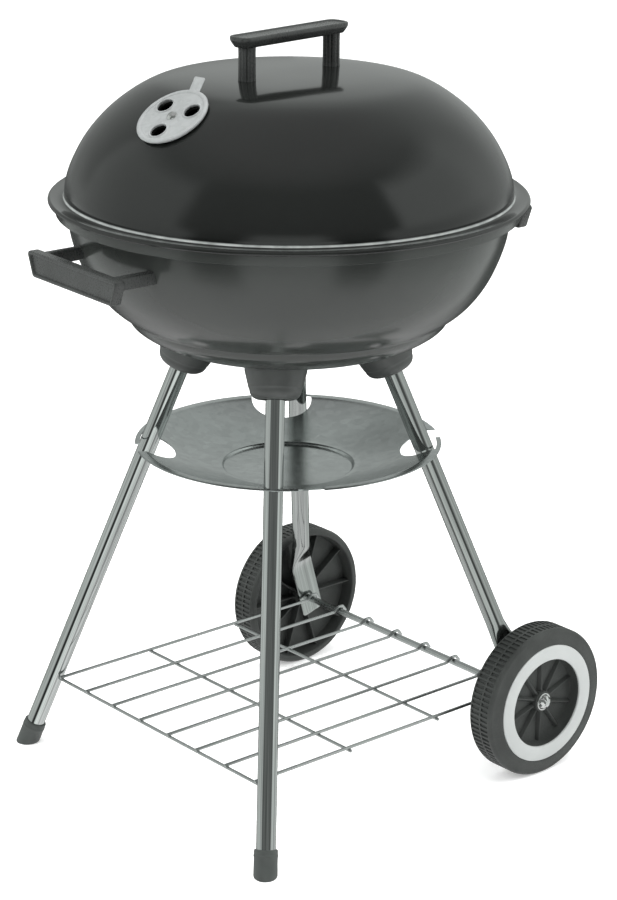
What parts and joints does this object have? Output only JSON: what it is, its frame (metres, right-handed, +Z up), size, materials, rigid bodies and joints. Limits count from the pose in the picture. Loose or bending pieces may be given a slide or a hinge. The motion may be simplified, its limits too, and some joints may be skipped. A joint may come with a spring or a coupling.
{
  "type": "kettle charcoal grill",
  "caption": "Kettle charcoal grill with a domed lid, vent discs, tube legs, an ash pan, a wire shelf and wheels",
  "frame": {"origin": "centre of the floor footprint on the kettle's upright axis", "axes": "+Z up, +X along the wheel axle, +Y towards the wheels"},
  "size_m": [0.456, 0.5006, 0.7375],
  "materials": {
    "dark_enamel": "gloss",
    "black_plastic": "satin",
    "grey_plastic": "satin",
    "wheel_plastic": "satin",
    "white_plastic": "gloss",
    "vent_aluminium": "satin",
    "plated_steel": "gloss",
    "bright_hardware": "gloss"
  },
  "bodies": {
    "base": {"bowl": "dark_enamel", "bowl_vent_rivet": "bright_hardware", "front_bowl_handle": "black_plastic", "rear_bowl_handle": "black_plastic", "bowl_handle_screws": "bright_hardware", "leg_socket_front_left": "black_plastic", "leg_socket_front_right": "black_plastic", "leg_socket_rear_left": "black_plastic", "leg_socket_rear_right": "black_plastic", "leg_socket_bolts": "bright_hardware", "front_leg_left": "plated_steel", "front_leg_right": "plated_steel", "rear_leg_left": "plated_steel", "rear_leg_right": "plated_steel", "foot_cap_left": "grey_plastic", "foot_cap_right": "grey_plastic", "storage_shelf": "plated_steel", "axle": "plated_steel", "axle_push_nuts": "bright_hardware", "axle_washers": "bright_hardware", "cooking_grate_brackets": "plated_steel"},
    "lid": {"lid": "dark_enamel", "lid_handle": "black_plastic", "lid_handle_screws": "bright_hardware", "lid_vent_rivet": "bright_hardware"},
    "lid_vent": {"lid_vent_damper": "vent_aluminium"},
    "bowl_vent": {"bowl_vent_damper": "vent_aluminium"},
    "ash_pan": {"ash_pan": "vent_aluminium"},
    "wheel_left": {"wheel_left": "wheel_plastic", "wheel_trim_left": "white_plastic"},
    "wheel_right": {"wheel_right": "wheel_plastic", "wheel_trim_right": "white_plastic"},
    "cooking_grate": {"cooking_grate_ring": "plated_steel", "cooking_grate_bars": "plated_steel"},
    "charcoal_grate": {"charcoal_grate_ring": "plated_steel", "charcoal_grate_bars": "plated_steel"}
  },
  "joints": [
    {"name": "lid_lift", "type": "slide", "parent": "base", "child": "lid", "axis": [0, 0, 1], "range_m": [0, 0.3]},
    {"name": "lid_vent_turn", "type": "hinge", "parent": "lid", "child": "lid_vent", "pos_m": [0.01578, -0.15017, 0.67565], "axis": [0.0573, -0.5454, 0.8362], "range_deg": [0, 60]},
    {"name": "bowl_vent_turn", "type": "hinge", "parent": "base", "child": "bowl_vent", "pos_m": [0, 0, 0.4386], "axis": [0, 0, 1], "range_deg": [0, 60]},
    {"name": "ash_pan_turn", "type": "hinge", "parent": "base", "child": "ash_pan", "pos_m": [0, 0, 0.3356], "axis": [0, 0, 1], "range_deg": [-14.5, 0]},
    {"name": "wheel_left_spin", "type": "hinge", "parent": "base", "child": "wheel_left", "pos_m": [-0.18475, 0.1676, 0.0764], "axis": [1, 0, 0], "continuous": true},
    {"name": "wheel_right_spin", "type": "hinge", "parent": "base", "child": "wheel_right", "pos_m": [0.18475, 0.1676, 0.0764], "axis": [1, 0, 0], "continuous": true},
    {"name": "cooking_grate_lift", "type": "slide", "parent": "base", "child": "cooking_grate", "axis": [0, 0, 1], "range_m": [0, 0.01]},
    {"name": "charcoal_grate_lift", "type": "slide", "parent": "base", "child": "charcoal_grate", "axis": [0, 0, 1], "range_m": [0, 0.05]}
  ]
}
